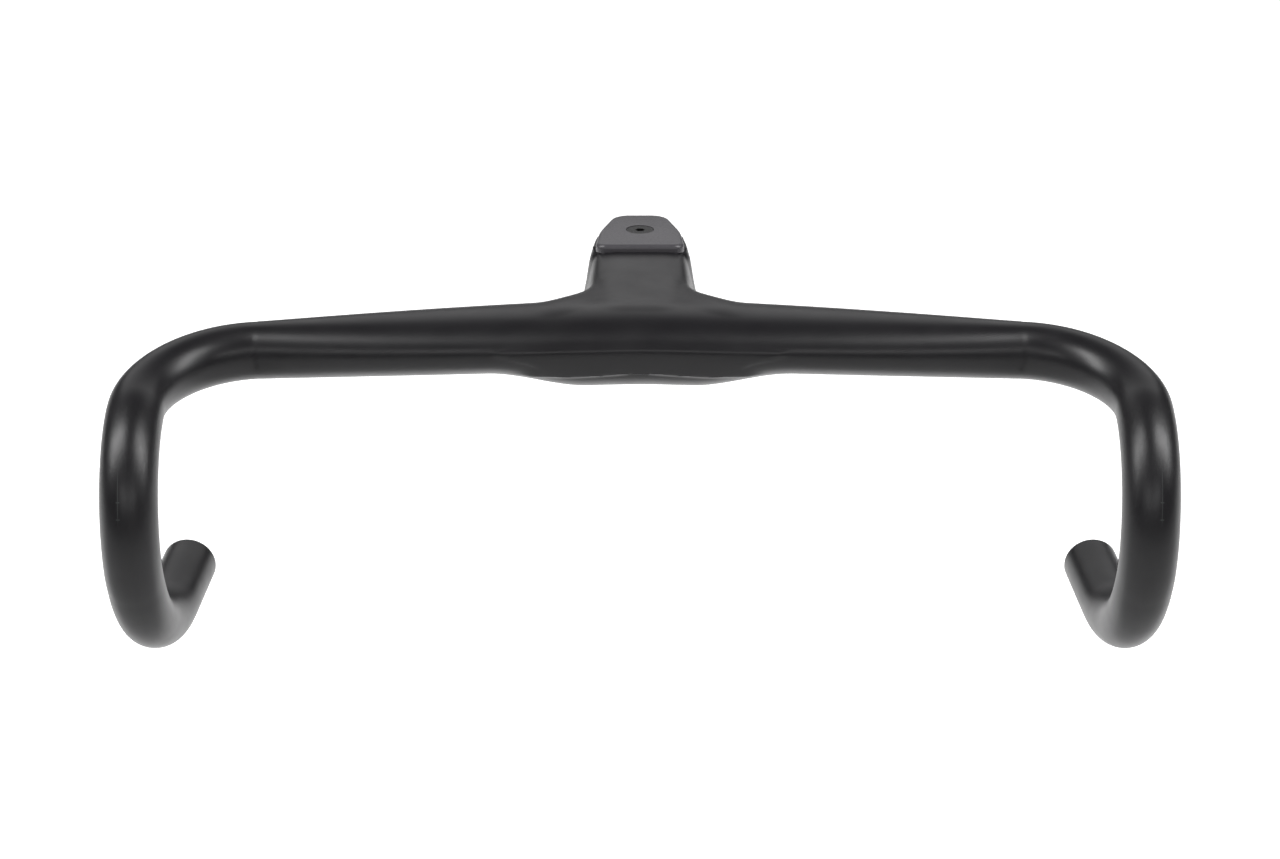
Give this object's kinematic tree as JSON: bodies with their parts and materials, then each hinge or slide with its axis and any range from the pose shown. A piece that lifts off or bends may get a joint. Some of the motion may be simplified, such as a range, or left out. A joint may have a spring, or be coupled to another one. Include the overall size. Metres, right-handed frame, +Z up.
{
  "type": "one-piece road handlebar and stem",
  "caption": "One-piece drop handlebar and stem with a steerer clamp, flattened tops, round hooks, a top cap and hidden ways for the hoses.",
  "frame": {"origin": "on the steerer's axis, in the base face that rests on the headset", "axes": "+Z up along the steerer's axis; the bar lies forward, on -Y; X runs across, with the rider's left on +X"},
  "size_m": [0.446, 0.226, 0.1458],
  "materials": {
    "moulding": "satin",
    "cap": "satin",
    "cover": "matte",
    "grommet": "matte",
    "steel": "satin",
    "black_steel": "satin",
    "insert": "satin"
  },
  "bodies": {
    "bar": {"stem_and_tops": "moulding", "left_hook": "moulding", "right_hook": "moulding", "left_hose_grommet": "grommet", "right_hose_grommet": "grommet", "clamp_nut_upper": "steel", "clamp_nut_lower": "steel", "clamp_washer_upper": "steel", "clamp_washer_lower": "steel", "mount_insert_left": "insert", "mount_insert_right": "insert", "hose_cover_insert_front": "insert", "hose_cover_insert_rear": "insert"},
    "top_cap": {"top_cap": "cap"},
    "preload_screw": {"preload_screw": "black_steel"},
    "upper_clamp_screw": {"clamp_screw_upper": "steel"},
    "lower_clamp_screw": {"clamp_screw_lower": "steel"},
    "hose_cover": {"hose_cover": "cover"},
    "front_cover_screw": {"hose_cover_screw_front": "black_steel"},
    "rear_cover_screw": {"hose_cover_screw_rear": "black_steel"}
  },
  "joints": [
    {"name": "cap_lift", "type": "slide", "parent": "bar", "child": "top_cap", "axis": [0, 0, 1], "range_m": [0, 0.03]},
    {"name": "preload_turn", "type": "hinge", "parent": "top_cap", "child": "preload_screw", "pos_m": [0, 0, 0.036], "axis": [0, 0, 1], "continuous": true},
    {"name": "cover_drop", "type": "slide", "parent": "bar", "child": "hose_cover", "axis": [0, 0, -1], "range_m": [0, 0.02]},
    {"name": "upper_clamp_screw_turn", "type": "hinge", "parent": "bar", "child": "upper_clamp_screw", "pos_m": [0.01, 0.0205, 0.027], "axis": [-1, 0, 0], "continuous": true},
    {"name": "lower_clamp_screw_turn", "type": "hinge", "parent": "bar", "child": "lower_clamp_screw", "pos_m": [0.01, 0.0205, 0.008], "axis": [-1, 0, 0], "continuous": true},
    {"name": "front_cover_screw_turn", "type": "hinge", "parent": "hose_cover", "child": "front_cover_screw", "pos_m": [0, -0.0681, 0.002], "axis": [0, 0, 1], "continuous": true},
    {"name": "rear_cover_screw_turn", "type": "hinge", "parent": "hose_cover", "child": "rear_cover_screw", "pos_m": [0, -0.0393, 0.002], "axis": [0, 0, 1], "continuous": true}
  ]
}
